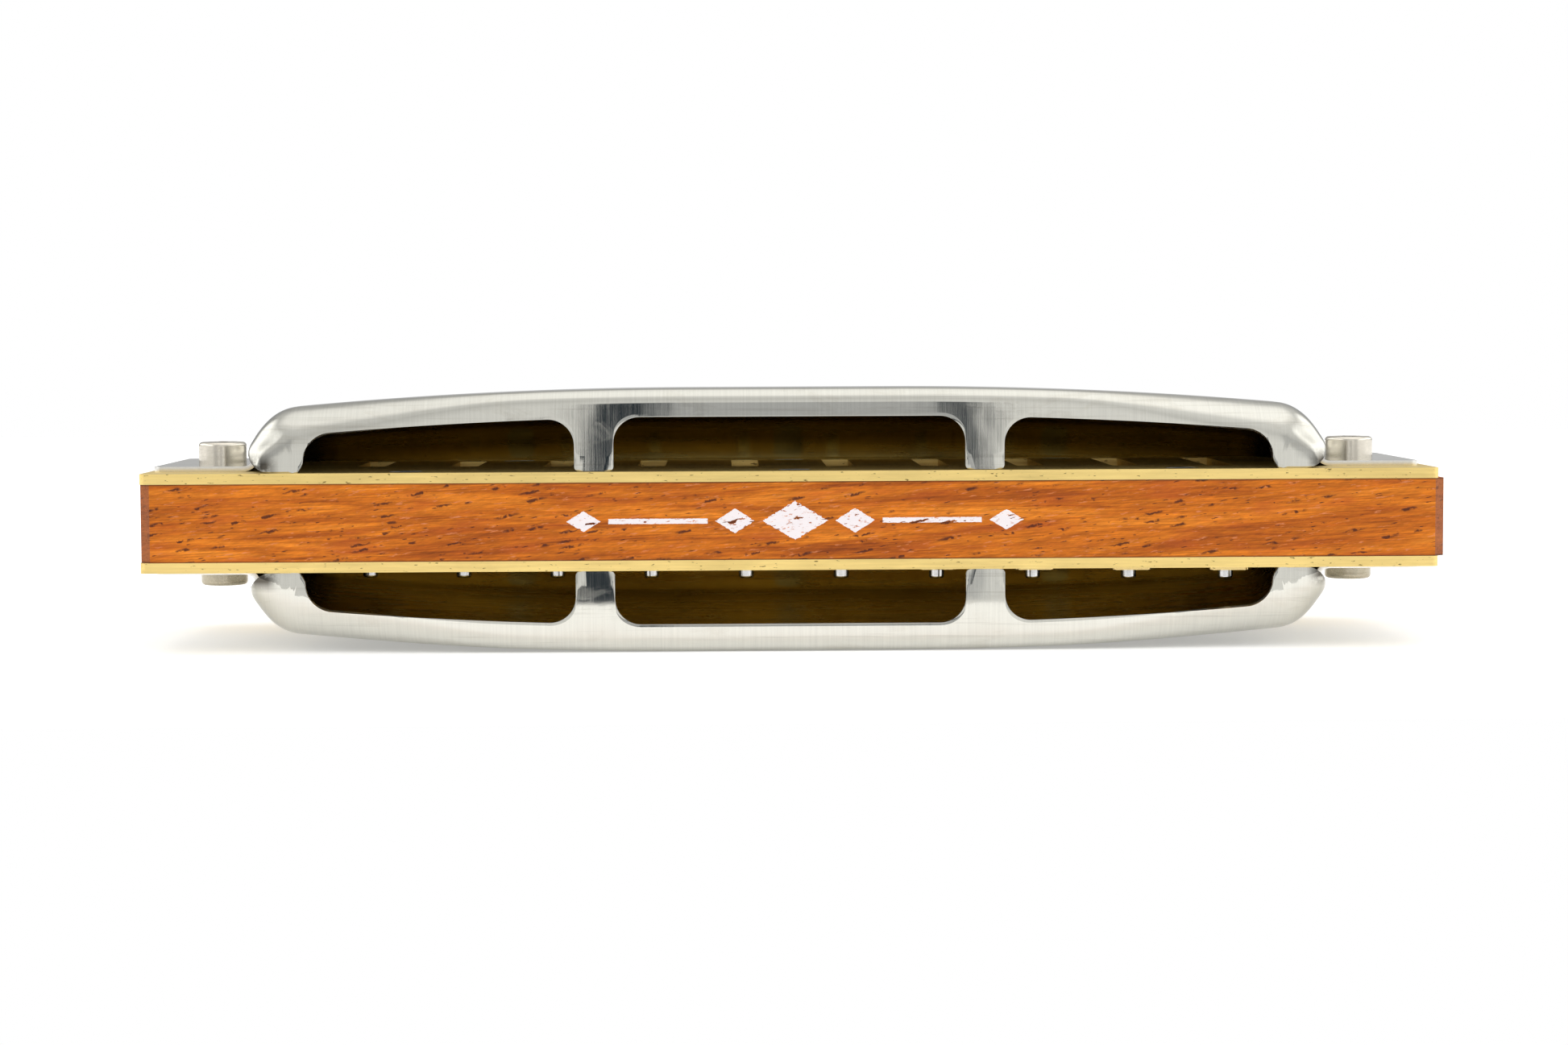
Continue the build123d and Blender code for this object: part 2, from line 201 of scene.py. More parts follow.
def printed_ornament(g, colour, pore):
    """A worn white ornament of rules and lozenges, printed on the comb's rear face."""
    across, _, height = distances(g)
    ragged = g.noise(g.coordinates((3.0, 3.0, 6.0), shift=(5, 5, 5)), 3.0, 0.6)
    roughened = g.math("MULTIPLY", g.math("SUBTRACT", ragged, 0.5), 0.25)

    def beside(centre):
        return g.math("ABSOLUTE", g.math("SUBTRACT", across, centre))

    def inside(value):
        """1 where a shape's value is below 0, which is inside the shape."""
        return g.math("LESS_THAN", value, 0.0)

    marks = 0.0
    for centre, half_width, half_height in LOZENGES:
        reach = g.math("DIVIDE", beside(centre), half_width)
        reach = g.math("ADD", reach, g.math("DIVIDE", height, half_height))
        lozenge = g.math("SUBTRACT", g.math("ADD", reach, roughened), 1.0)
        marks = g.math("MAXIMUM", marks, inside(lozenge))
    centre, half_length, half_height = RULE
    over = g.math("ADD", height, g.math("MULTIPLY", roughened, 0.4))
    over = g.math("SUBTRACT", over, half_height)
    beyond = g.math("SUBTRACT", beside(centre), half_length)
    marks = g.math("MAXIMUM", marks, inside(g.math("MAXIMUM", over, beyond)))
    worn = g.noise(g.coordinates((1.6, 4.0, 7.0), (0, 5, 0), (8, 3, 4)), 4.0, 0.75)
    kept = g.math("LESS_THAN", g.math("ADD", worn, g.math("MULTIPLY", pore, 0.3)), 0.61)
    normal = g.add("ShaderNodeNewGeometry").outputs["Normal"]
    rear = g.math("LESS_THAN", g.add("ShaderNodeSeparateXYZ", {0: normal}).outputs[1], -0.5)
    marks = g.math("MULTIPLY", g.math("MULTIPLY", marks, kept), rear)
    return g.mix(g.math("MULTIPLY", marks, 0.93), colour, (0.78, 0.75, 0.78)), marks


def wood_grain(g):
    """The wood's streaks along the grain, and the fine fibre that also roughens it."""
    streak = g.noise(g.coordinates((0.05, 0.3, 0.66), (0, 2.5, 0)), 6.0, 0.66, 0.9)
    colour = g.ramp(
        streak,
        [
            (0.30, (0.21, 0.040, 0.002)),
            (0.41, (0.36, 0.080, 0.003)),
            (0.53, (0.52, 0.138, 0.006)),
            (0.70, (0.71, 0.225, 0.018)),
        ],
    )
    fibre = g.noise(g.coordinates((0.3, 4.0, 11.0), (0, 2.5, 0)), 4.0, 0.6)
    colour = g.mix(0.6, colour, g.ramp(fibre, [(0.28, 0.38), (0.72, 1.5)]), "MULTIPLY")
    weave = g.noise(g.coordinates((1.6, 5.0, 8.0), (0, 14, 0), (3, 1, 5)), 2.0, 0.5)
    colour = g.mix(0.4, colour, g.ramp(weave, [(0.35, 0.7), (0.66, 1.3)]), "MULTIPLY")
    # Short pinkish flecks, where the ray cells catch the light
    fleck = g.noise(g.coordinates((0.8, 3.2, 4.4), (0, 9, 0), (9, 2, 7)), 3.0, 0.7)
    colour = g.mix(g.ramp(fleck, [(0.60, 0.0), (0.69, 0.7)]), colour, (0.60, 0.21, 0.085))
    ruddy = g.noise(g.coordinates((0.22, 0.6, 0.9), (0, 4, 0), (2, 8, 1)), 2.0, 0.5)
    colour = g.mix(g.ramp(ruddy, [(0.54, 0.0), (0.70, 0.35)]), colour, (0.40, 0.072, 0.012))
    return colour, fibre


def wood_pores(g):
    """1 in the pores, which are short dark dashes along the grain, long ones and small ones."""
    wobble = g.noise(g.coordinates((1.7, 1.7, 1.7)), 3.0)
    drift = g.add("ShaderNodeVectorMath", {0: wobble, "Scale": 1.4}, operation="SCALE").outputs[0]

    def dashes(per_mm, rarity, size, shift):
        place = g.coordinates(per_mm, (0, 8, 0), shift)
        place = g.add("ShaderNodeVectorMath", {0: place, 1: drift}, operation="ADD").outputs[0]
        cells = g.add("ShaderNodeTexVoronoi", {"Vector": place, "Scale": 1.0})
        tag = g.add("ShaderNodeSeparateColor", {0: cells.outputs["Color"]}).outputs[0]
        wanted = g.math("GREATER_THAN", tag, rarity)
        near = g.ramp(cells.outputs["Distance"], [(size * 0.45, 1.0), (size, 0.0)])
        return g.math("MULTIPLY", near, wanted)

    long_dashes = dashes((0.45, 1.9, 2.7), 0.74, 0.40, (0, 0, 0))
    small_dashes = dashes((1.1, 4.0, 6.5), 0.83, 0.32, (31, 7, 5))
    return g.math("MAXIMUM", long_dashes, small_dashes)


def end_grain(g):
    """The duller, redder colour of the end grain, with its pores as dots."""
    dots = g.add("ShaderNodeTexVoronoi", {"Vector": g.coordinates((1.0, 4.5, 4.5)), "Scale": 1.0})
    dot_shade = g.ramp(dots.outputs["Distance"], [(0.12, 0.35), (0.3, 1.0)])
    rings = g.noise(g.coordinates((0.3, 0.5, 2.4), (8, 0, 0)), 4.0, 0.6, 1.5)
    ring_shade = g.ramp(rings, [(0.3, 0.5), (0.7, 1.35)])
    colour = g.mix(0.8, (0.250, 0.070, 0.019), ring_shade, "MULTIPLY")
    return g.mix(0.8, colour, dot_shade, "MULTIPLY")


def wood_material():
    material, g, shader = new_material("comb_wood", Specular_IOR_Level=0.22)
    colour, fibre = wood_grain(g)
    pore = wood_pores(g)
    colour = g.mix(g.math("MULTIPLY", pore, 0.9), colour, (0.055, 0.010, 0.004))
    # End grain shows on the ends and, a little, on the eased corners
    facing = g.add("ShaderNodeNewGeometry").outputs["Normal"]
    across = g.math("ABSOLUTE", g.add("ShaderNodeSeparateXYZ", {0: facing}).outputs[0])
    on_end = g.math("MULTIPLY", g.math("SUBTRACT", across, 0.35, clamp=True), 2.2, clamp=True)
    colour = g.mix(on_end, colour, end_grain(g))
    # A thin dirty seam where the wood meets each reed plate
    upward = g.math("ABSOLUTE", g.add("ShaderNodeSeparateXYZ", {0: facing}).outputs[2])
    seam = g.math("MULTIPLY", above(g, distances(g)[2], 2.86, 2.95), above(g, upward, 0.8, 0.5))
    colour = g.mix(g.math("MULTIPLY", seam, 0.75), colour, (0.060, 0.022, 0.006))
    colour, marks = printed_ornament(g, colour, pore)
    rough = g.ramp(fibre, [(0.3, 0.62), (0.7, 0.42)])
    height = g.math("SUBTRACT", g.math("MULTIPLY", fibre, 0.35), pore)
    height = g.math("ADD", height, g.math("MULTIPLY", marks, 0.15))
    feed(g, shader, Base_Color=colour, Roughness=rough, Normal=g.bump(height, 0.03, 0.6))
    return material


def brass_material(name, colour, rough, brush, tarnish):
    """Rolled brass: fine lines along the strip, dull patches and a few dark specks.

    rough is the lowest and highest roughness, and brush the lines per mm along each axis.
    """
    material, g, shader = new_material(name, Metallic=1.0)
    lines = g.noise(g.coordinates(brush), 4.0, 0.6)
    patches = g.noise(g.coordinates((0.12, 0.2, 0.6), shift=(4, 7, 1)), 4.0, 0.6, 0.4)
    specks = g.noise(g.coordinates((1.6, 3.0, 5.0), shift=(2, 9, 3)), 2.0, 0.6)
    dull = tuple(channel * 0.62 for channel in colour)
    base = g.mix(g.ramp(patches, [(0.42, 0.0), (0.75, tarnish * 2)]), colour, dull)
    base = g.mix(0.35, base, g.ramp(lines, [(0.3, 0.72), (0.7, 1.18)]), "MULTIPLY")
    speck_mask = g.ramp(specks, [(0.65, 0.0), (0.72, 0.8)])
    base = g.mix(speck_mask, base, (0.10, 0.055, 0.012))
    roughness = g.ramp(lines, [(0.25, rough[1]), (0.75, rough[0])])
    feed(g, shader, Base_Color=base, Roughness=roughness, Normal=g.bump(lines, 0.006, 0.5))
    return material


def steel_material(name, colour, rough, brush, smudge, streak, darkening=None):
    """Bright steel with fine brushing, faint waves and greyish finger smudges.

    rough is the lowest and highest roughness, brush the lines per mm along each axis, and
    streak their depth in mm. The darkening function, if given, darkens parts of a colour: it takes
    the graph and the colour. On the outer steel it is painted shade in the creases at the rear
    ends.
    """
    material, g, shader = new_material(name, Metallic=1.0)
    lines = g.noise(g.coordinates(brush), 4.0, 0.65)
    waves = g.noise(g.coordinates((0.3, 0.12, 0.16), shift=(1, 4, 8)), 2.0, 0.5)
    smudges = g.noise(g.coordinates((0.16, 0.3, 0.55), shift=(7, 3, 2)), 4.0, 0.65, 0.8)
    stains = g.noise(g.coordinates((0.045, 0.3, 2.4), shift=(3, 1, 9)), 4.0, 0.7, 0.3)
    dull = tuple(channel * shade for channel, shade in zip(colour, (0.76, 0.72, 0.66)))
    smudge_mask = g.ramp(smudges, [(0.54, 0.0), (0.64, smudge)])
    stain_mask = g.ramp(stains, [(0.56, 0.0), (0.64, smudge * 0.9)])
    base = g.mix(smudge_mask, colour, dull)
    base = g.mix(stain_mask, base, tuple(channel * 0.62 for channel in dull))
    base = g.mix(0.3, base, g.ramp(lines, [(0.3, 0.8), (0.7, 1.12)]), "MULTIPLY")
    # Darken the colour where the given function says: painted shade in the outer creases, and the
    # darker inner ends
    if darkening is not None:
        base = darkening(g, base)
    roughness = g.math(
        "ADD",
        g.ramp(lines, [(0.25, rough[1]), (0.75, rough[0])]),
        g.math("MULTIPLY", smudge_mask, 0.15),
    )
    wave_normal = g.bump(waves, 0.012, 0.5)
    normal = g.bump(lines, streak, 0.6, wave_normal)
    feed(g, shader, Base_Color=base, Roughness=roughness, Normal=normal)
    return material


WOOD = wood_material()
PLATE_BRASS = brass_material(
    "plate_brass", (0.92, 0.70, 0.27), rough=(0.36, 0.55), brush=(0.12, 7.0, 4.5), tarnish=0.25
)
REED_BRASS = brass_material(
    "reed_brass", (0.84, 0.64, 0.28), rough=(0.16, 0.3), brush=(14.0, 0.25, 2.0), tarnish=0.12
)
COVER_STEEL = steel_material(
    "cover_steel",
    (0.64, 0.63, 0.575),
    rough=(0.03, 0.065),
    brush=(7.0, 0.16, 0.16),
    smudge=0.2,
    streak=0.0005,
    # Painted shade in the creases at the rear ends of the covers
    darkening=crease_painted_shade,
)


def inside_steel(name, colour):
    """The inner side of a cover, duller, with long marks of the rolling mill. Its colour is tinted
    brown-yellow as a painted reflection of the brass, and its brightness is painted shade and
    light of the cavity, set per cover.
    """
    return steel_material(
        name,
        colour,
        rough=(0.16, 0.35),
        brush=(0.05, 1.1, 1.1),
        smudge=0.3,
        streak=0.03,
        darkening=inner_end_darkening,
    )


def turned_steel(name, colour, rough, lines_per_mm, smudge, streak):
    """Steel of a small turned or cut surface, marked alike in every direction."""
    return steel_material(name, colour, rough, (lines_per_mm,) * 3, smudge, streak)


# One steel in two copies: the upper inside painted darker and the lower one lighter, as painted
# shade and light of the two cavities
UPPER_INSIDE_PAINTED_DARK = inside_steel("upper_cover_inside", (0.36, 0.285, 0.095))
LOWER_INSIDE_PAINTED_LIGHT = inside_steel("lower_cover_inside", (0.66, 0.55, 0.25))
CUT_EDGE = turned_steel("cut_edge", (0.82, 0.81, 0.78), (0.25, 0.4), 4.0, 0.1, 0.003)
NICKEL = turned_steel("fastener_nickel", (0.74, 0.69, 0.60), (0.16, 0.28), 6.0, 0.2, 0.003)
# A darker copy of the nickel: painted shade for the nuts
SHADED_NICKEL = turned_steel("shaded_nickel", (0.46, 0.41, 0.31), (0.22, 0.36), 6.0, 0.3, 0.004)
RIVET_STEEL = turned_steel("rivet_steel", (0.74, 0.74, 0.74), (0.15, 0.3), 5.0, 0.2, 0.004)
PLATE_SCREW_STEEL = turned_steel(
    "plate_screw_steel", (0.60, 0.60, 0.60), (0.25, 0.4), 5.0, 0.3, 0.004
)
SLOT_MATERIALS = {
    "comb_wood": WOOD,
    "plate_brass": PLATE_BRASS,
    "reed_brass": REED_BRASS,
    "cover_steel": COVER_STEEL,
    "fastener_nickel": NICKEL,
    "rivet_steel": RIVET_STEEL,
    "plate_screw_steel": PLATE_SCREW_STEEL,
}

for subpart in frame["record"]["subparts"]:
    mesh = nodes[subpart["node"]].data
    mesh.materials.clear()
    mesh.materials.append(SLOT_MATERIALS[subpart["material_slot"]])
# The nuts get a darker copy of the screws' nickel, as painted shade
nodes["cover_nuts"].data.materials[0] = SHADED_NICKEL


# ---------------------------------------------------------------- covers


def frame_mm(metres):
    """A length from the frame in mm, without its rounding noise."""
    return round(metres / MM, 3)


upper_low, upper_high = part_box("upper_cover")
screws_low, screws_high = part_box("cover_screws")

# Both covers are built as the upper one. The left half mirrors the right half. All in mm.
PLATE_FACE = frame_mm(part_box("blow_reed_plate")[1].z)
COVER_TOP = frame_mm(upper_high.z)
REAR_FACE = frame_mm(upper_low.y)
FRONT_FACE = frame_mm(upper_high.y)
TAB_END = frame_mm((upper_high.x - upper_low.x) / 2)
SCREW_RADIUS = frame_mm((screws_high.y - screws_low.y) / 2)
SHEET = 0.4
WORN_EDGE = 0.1

# The outline seen from behind: flat in the middle, then crowned, then round at the end
HALF_LENGTH = 41.25
FLAT_HALF = 8.0
CROWN_RADIUS = 340.0
END_RADIUS = 3.6
NOTCH_ANGLE = math.radians(2.5)

# The roof slopes down towards the front from this depth
SLOPE_START = -7.8
SLOPE_RADIUS = 47.0

# Radii of the rolls where the roof turns down. The rear one widens along x and tightens at the
# height of the feet.
MIDDLE_ROLL = 1.15
END_ROLL = 3.2
ROLL_WIDENS = (20.0, 40.0)
FOOT_ROLL = 0.7
FOOT_HEIGHTS = (4.0, 6.6)
FRONT_ROLL = 2.6

# The three openings, the posts between them and the feet at the ends
WINDOW_TOP = 7.97
WINDOW_CORNER = 2.0
WINDOW_OUTER_CORNER = 2.2
MIDDLE_WINDOW_HALF = 13.5
SIDE_WINDOW_INNER = 16.5
SIDE_WINDOW_OUTER = 37.2
POST_CORNER = 0.35
POST_GAP = 0.04
FOOT_ROUND = 1.6
END_FOOT_LEAN = 0.45

# Where the rear ends swell: it grows and fades along x, fades along y, and has a middle height
BULGE = 0.42
BULGE_GROWS = (38.0, 40.5)
BULGE_FADES = (42.5, 44.0)
BULGE_DEPTHS = (-12.0, -6.0)
BULGE_HEIGHT = 5.7
BULGE_SPREAD = 1.2

TAB_TOP = 4.2
TAB_REAR = -9.8
TAB_FRONT = 6.3
TAB_CORNER = 0.5
TAB_HOLE_RADIUS = 1.3
CURL = 1.0

# How far the front and the ends are carried down, to be cut off at the plate
FRONT_SKIRT = 4.0
END_SKIRT = 3.0

ROLL_STEPS = 10
WALL_STEPS = 4
CORNER_STEPS = 12
POST_STEPS = 4
TAB_STEPS = 12
TOUCH = 1e-6
WELD = 0.002

CROWN_ANGLE = math.asin((HALF_LENGTH - END_RADIUS - FLAT_HALF) / (CROWN_RADIUS - END_RADIUS))
END_X = HALF_LENGTH - END_RADIUS
END_Z = COVER_TOP - CROWN_RADIUS + (CROWN_RADIUS - END_RADIUS) * math.cos(CROWN_ANGLE)
CROWN_END_X = FLAT_HALF + CROWN_RADIUS * math.sin(CROWN_ANGLE)


def smooth_step(value, low, high):
    """0 below low, 1 above high, and a soft rise between them."""
    part = min(max((value - low) / (high - low), 0.0), 1.0)
    return part * part * (3 - 2 * part)


def spread(start, end, count):
    """The points after start, up to and with end, in equal steps."""
    return [start + (end - start) * (i + 1) / count for i in range(count)]


def window_top(x):
    """The height of the openings' upper edge, which follows the crown."""
    beyond = max(x - FLAT_HALF, 0.0)
    return WINDOW_TOP - beyond**2 / (2 * CROWN_RADIUS)


def slope_drop(y):
    """How far the cover's roof has come down at depth y."""
    beyond = max(y - SLOPE_START, 0.0)
    return SLOPE_RADIUS - math.sqrt(SLOPE_RADIUS**2 - beyond**2)


def crown_point(x, inset=0.0):
    """A point on the outline's flat or crowned part, and as far in from it as inset says."""
    if x <= FLAT_HALF:
        return (x, COVER_TOP - inset)
    angle = math.asin((x - FLAT_HALF) / CROWN_RADIUS)
    radius = CROWN_RADIUS - inset
    return (
        FLAT_HALF + radius * math.sin(angle),
        COVER_TOP - CROWN_RADIUS + radius * math.cos(angle),
    )


def end_point(angle, inset=0.0):
    """A point on the outline's round end, and as far in from it as inset says."""
    radius = END_RADIUS - inset
    return (END_X + radius * math.cos(angle), END_Z + radius * math.sin(angle))


def distance_in(x, z):
    """How far a point of the rear wall lies in from the cover's outline."""
    if x <= FLAT_HALF:
        return COVER_TOP - z
    below_centre = z - (COVER_TOP - CROWN_RADIUS)
    if math.atan2(x - FLAT_HALF, below_centre) <= CROWN_ANGLE:
        return CROWN_RADIUS - math.hypot(x - FLAT_HALF, below_centre)
    if z > END_Z:
        return END_RADIUS - math.hypot(x - END_X, z - END_Z)
    return HALF_LENGTH - x


def roll_radius(x, z):
    """The rear roll's radius: tight over the middle, soft round the ends, tightest at the feet."""
    radius = MIDDLE_ROLL + (END_ROLL - MIDDLE_ROLL) * smooth_step(x, *ROLL_WIDENS)
    return FOOT_ROLL + (radius - FOOT_ROLL) * smooth_step(z, *FOOT_HEIGHTS)


def rear_wall_y(x, z):
    """The depth of the rear wall's face, which bends forward near the outline."""
    radius = roll_radius(x, z)
    inside = max(radius - max(distance_in(x, z), 0.0), 0.0)
    return REAR_FACE + radius - math.sqrt(radius**2 - min(inside, radius) ** 2)


def half_outline():
    """Matching points of half a rear wall: on the outline, and on the wall's lower edge.

    Each item is (a place on the outline, the point of the lower edge). A place is a number
    from 0 to 1 over the crown, and from 1 to 2 round the end. The places on the crown are
    given by their x, in mm, times on_crown.
    """
    lower = [(0.0, WINDOW_TOP)]
    upper = [0.0]

    def piece(points, upper_end, scale=1.0):
        lower.extend(points)
        upper.extend(spread(upper[-1], upper_end * scale, len(points)))

    def arc(centre, radius, start, end, count):
        angles = spread(math.radians(start), math.radians(end), count)
        return [
            (centre[0] + radius * math.cos(a), centre[1] + radius * math.sin(a)) for a in angles
        ]

    def upright(x, start, end, count):
        return [(x, z) for z in spread(start, end, count)]

    on_crown = 1.0 / CROWN_END_X
    # Along the top of the middle opening and round its corner
    corner_x = MIDDLE_WINDOW_HALF - WINDOW_CORNER
    corner_z = WINDOW_TOP - WINDOW_CORNER
    piece([(x, WINDOW_TOP) for x in spread(0.0, corner_x, 14)], 12.1, on_crown)
    piece(arc((corner_x, corner_z), WINDOW_CORNER, 90, 0, CORNER_STEPS), 13.5, on_crown)
    # Down one side of the post, along its foot and up the other side
    foot_z = PLATE_FACE + POST_GAP
    bend_z = foot_z + POST_CORNER
    left_x = MIDDLE_WINDOW_HALF + POST_CORNER
    right_x = SIDE_WINDOW_INNER - POST_CORNER
    piece(upright(MIDDLE_WINDOW_HALF, corner_z, bend_z, POST_STEPS), 14.1, on_crown)
    piece(arc((left_x, bend_z), POST_CORNER, 180, 270, POST_STEPS), 14.4, on_crown)
    piece([(x, foot_z) for x in spread(left_x, right_x, 5)], 15.6, on_crown)
    piece(arc((right_x, bend_z), POST_CORNER, -90, 0, POST_STEPS), 15.9, on_crown)
    inner_z = window_top(SIDE_WINDOW_INNER + WINDOW_CORNER) - WINDOW_CORNER
    piece(upright(SIDE_WINDOW_INNER, bend_z, inner_z, POST_STEPS), 16.5, on_crown)
    # Over the side opening
    inner_x = SIDE_WINDOW_INNER + WINDOW_CORNER
    piece(arc((inner_x, inner_z), WINDOW_CORNER, 180, 90, CORNER_STEPS), 18.0, on_crown)
    outer_x = SIDE_WINDOW_OUTER - WINDOW_OUTER_CORNER
    outer_z = window_top(outer_x) - WINDOW_OUTER_CORNER
    along = [(x, window_top(x)) for x in spread(inner_x, outer_x, 26)]
    piece(along, 35.6, on_crown)
    piece(arc((outer_x, outer_z), WINDOW_OUTER_CORNER, 86, 0, CORNER_STEPS), 1.0)
    # Down the leaning foot, along the plate and up the rounded outer edge
    lean = [END_FOOT_LEAN * step**1.5 for step in spread(0.0, 1.0, 6)]
    upright_z = spread(outer_z, PLATE_FACE, 6)
    piece([(SIDE_WINDOW_OUTER + out, z) for out, z in zip(lean, upright_z)], 1.35)
    foot_x = HALF_LENGTH - FOOT_ROUND
    piece([(x, PLATE_FACE) for x in spread(SIDE_WINDOW_OUTER + END_FOOT_LEAN, foot_x, 6)], 1.7)
    piece(arc((foot_x, PLATE_FACE + FOOT_ROUND), FOOT_ROUND, -90, 0, 8), 2.0)
    return list(zip(upper, lower))


def outline_point(place, last_angle, inset=0.0):
    """The outline's point at a place, as half_outline gives it."""
    if place <= 1.0:
        return crown_point(place * CROWN_END_X, inset)
    first_angle = math.pi / 2 - CROWN_ANGLE
    return end_point(first_angle + (last_angle - first_angle) * (place - 1.0), inset)


def curl_start_angle(y):
    """Where, round the end, the end wall turns out into the tab's curl at depth y."""
    rise = TAB_TOP + CURL - (END_Z - slope_drop(y))
    return math.asin(max(rise, 0.0) / (END_RADIUS + CURL))


def tab_row(y):
    """The rest of the sheet's section at depth y: curl, then flat tab to its end."""
    centre_z = TAB_TOP + CURL
    angle = curl_start_angle(y)
    centre_x = END_X + (END_RADIUS + CURL) * math.cos(angle)
    points = []
    for turn in spread(math.pi + angle, 1.5 * math.pi, ROLL_STEPS):
        points.append((centre_x + CURL * math.cos(turn), centre_z + CURL * math.sin(turn)))
    points[-1] = (centre_x, TAB_TOP)
    into_corner = max(TAB_REAR + TAB_CORNER - y, y - (TAB_FRONT - TAB_CORNER), 0.0)
    rounded = TAB_CORNER - math.sqrt(max(TAB_CORNER**2 - into_corner**2, 0.0))
    tab_end = TAB_END - rounded
    points.extend((x, TAB_TOP) for x in spread(centre_x, tab_end, TAB_STEPS))
    return points


class Skin:
    """A bmesh whose vertices are shared wherever two patches meet."""

    def __init__(self):
        self.bm = bmesh.new()
        self.known = {}

    def vertex(self, point):
        key = tuple(round(value, 4) for value in point)
        if key not in self.known:
            self.known[key] = self.bm.verts.new([value * MM for value in point])
        return self.known[key]

    def patch(self, columns):
        """Faces between neighbouring columns of points, wherever they have an area."""
        for left, right in zip(columns, columns[1:]):
            for corner in range(len(left) - 1):
                ring = [left[corner], left[corner + 1], right[corner + 1], right[corner]]
                verts = []
                for point in ring:
                    vertex = self.vertex(point)
                    if vertex not in verts:
                        verts.append(vertex)
                if len(verts) >= 3 and not self.bm.faces.get(verts):
                    self.bm.faces.new(verts)


def wall_column(place, lower):
    """Points down the rear wall, from the outline over the roll to the wall's lower edge."""
    top_x, top_z = outline_point(place, NOTCH_ANGLE)
    low_x, low_z = lower
    depth = max(distance_in(low_x, low_z), 0.0)
    radius = roll_radius(top_x, top_z)
    last_angle = math.asin(max(0.0, 1.0 - min(depth, radius) / radius))
    parts = [0.0]
    for angle in spread(math.pi / 2, last_angle, ROLL_STEPS):
        parts.append(0.0 if depth == 0 else radius * (1 - math.sin(angle)) / depth)
    parts.extend(spread(parts[-1], 1.0, WALL_STEPS))
    column = [(top_x, REAR_FACE + radius, top_z)]
    for part in parts[1:]:
        part = min(part, 1.0)
        x = top_x + (low_x - top_x) * part
        z = top_z + (low_z - top_z) * part
        column.append((x, rear_wall_y(x, z), z))
    return column


def roof_ys(x, z):
    """Depths of the roof's rows, from the end of the rear roll to the start of the front roll."""
    start = REAR_FACE + roll_radius(x, z)
    rows = [start] + spread(start, TAB_REAR, 3)
    rows += spread(TAB_REAR, TAB_REAR + TAB_CORNER, 4)
    rows += spread(TAB_REAR + TAB_CORNER, TAB_FRONT - TAB_CORNER, 20)
    rows += spread(TAB_FRONT - TAB_CORNER, TAB_FRONT, 4)
    rows += spread(TAB_FRONT, FRONT_FACE - FRONT_ROLL, 3)
    return rows


def end_angle_at(y):
    """The last angle round the end that every section has, at depth y."""
    return NOTCH_ANGLE + curl_start_angle(min(max(y, TAB_REAR), TAB_FRONT))


def end_bulge(x, y, z):
    """The rear ends swell a little beside the tabs, where the sheet was pressed over."""
    across = smooth_step(x, *BULGE_GROWS) * (1 - smooth_step(x, *BULGE_FADES))
    along = 1 - smooth_step(y, *BULGE_DEPTHS)
    return BULGE * across * along * math.exp(-(((z - BULGE_HEIGHT) / BULGE_SPREAD) ** 2))


def front_roll():
    """(depth, inset from the outline) of each row round the front roll, to the front face."""
    return [
        (FRONT_FACE - FRONT_ROLL * (1 - math.cos(angle)), FRONT_ROLL * (1 - math.sin(angle)))
        for angle in spread(math.pi / 2, 0.0, ROLL_STEPS)
    ]


def sloped(point, y):
    """The outline's point (x, z) at depth y, where the roof has come down."""
    x, z = point
    return (x, y, z - slope_drop(y))


def carried_down(point, length):
    x, y, z = point
    return (x, y, z - length)


def roof_column(place):
    """The roof at one place of the outline, from the rear roll over the front roll."""
    column = []
    for y in roof_ys(*outline_point(place, NOTCH_ANGLE)):
        column.append(sloped(outline_point(place, end_angle_at(y)), y))
    for y, inset in front_roll():
        column.append(sloped(outline_point(place, end_angle_at(y), inset), y))
    column.append(carried_down(column[-1], FRONT_SKIRT))
    return column


def tab_section(y):
    """The sheet's section at depth y, from the end wall through the curl to the tab's end."""
    section = [
        sloped(outline_point(2.0, end_angle_at(y)), y),
        sloped(end_point(curl_start_angle(y)), y),
    ]
    section.extend((x, y, z) for x, z in tab_row(y))
    return section


def end_section(y, inset):
    """The end wall in front of the tab at depth y, which goes on down to the plate."""
    section = [sloped(end_point(angle, inset), y) for angle in (end_angle_at(y), 0.0)]
    section.append(carried_down(section[-1], END_SKIRT))
    return section


def build_half(skin, flip):
    """Half of the cover's outer skin, for x from 0 to its end. flip mirrors it to minus x."""

    def add_patch(columns):
        skin.patch(
            [
                [(flip * (x + end_bulge(x, y, z)), y, z) for x, y, z in column]
                for column in columns
            ]
        )

    outline = half_outline()
    add_patch([wall_column(place, lower) for place, lower in outline])
    add_patch([roof_column(place) for place, _ in outline])
    depths = roof_ys(HALF_LENGTH, END_Z)
    add_patch([tab_section(y) for y in depths if TAB_REAR - TOUCH <= y <= TAB_FRONT + TOUCH])
    past_tab = [(y, 0.0) for y in depths if y >= TAB_FRONT - TOUCH]
    add_patch([end_section(y, inset) for y, inset in past_tab + front_roll()])


def cut_at_plate(bm):
    """Join the patches, and cut off what reaches below the reed plate's face."""
    bmesh.ops.remove_doubles(bm, verts=bm.verts, dist=WELD * MM)
    bmesh.ops.bisect_plane(
        bm,
        geom=list(bm.verts) + list(bm.edges) + list(bm.faces),
        dist=0.0005 * MM,
        plane_co=(0, 0, PLATE_FACE * MM),
        plane_no=(0, 0, 1),
        clear_inner=True,
    )


def turn_outwards(bm):
    """Make every face look out of the cover, as its highest face should look up."""
    bmesh.ops.recalc_face_normals(bm, faces=bm.faces)
    highest = max(bm.faces, key=lambda face: face.calc_center_median().z)
    if highest.normal.z < 0:
        bmesh.ops.reverse_faces(bm, faces=bm.faces)


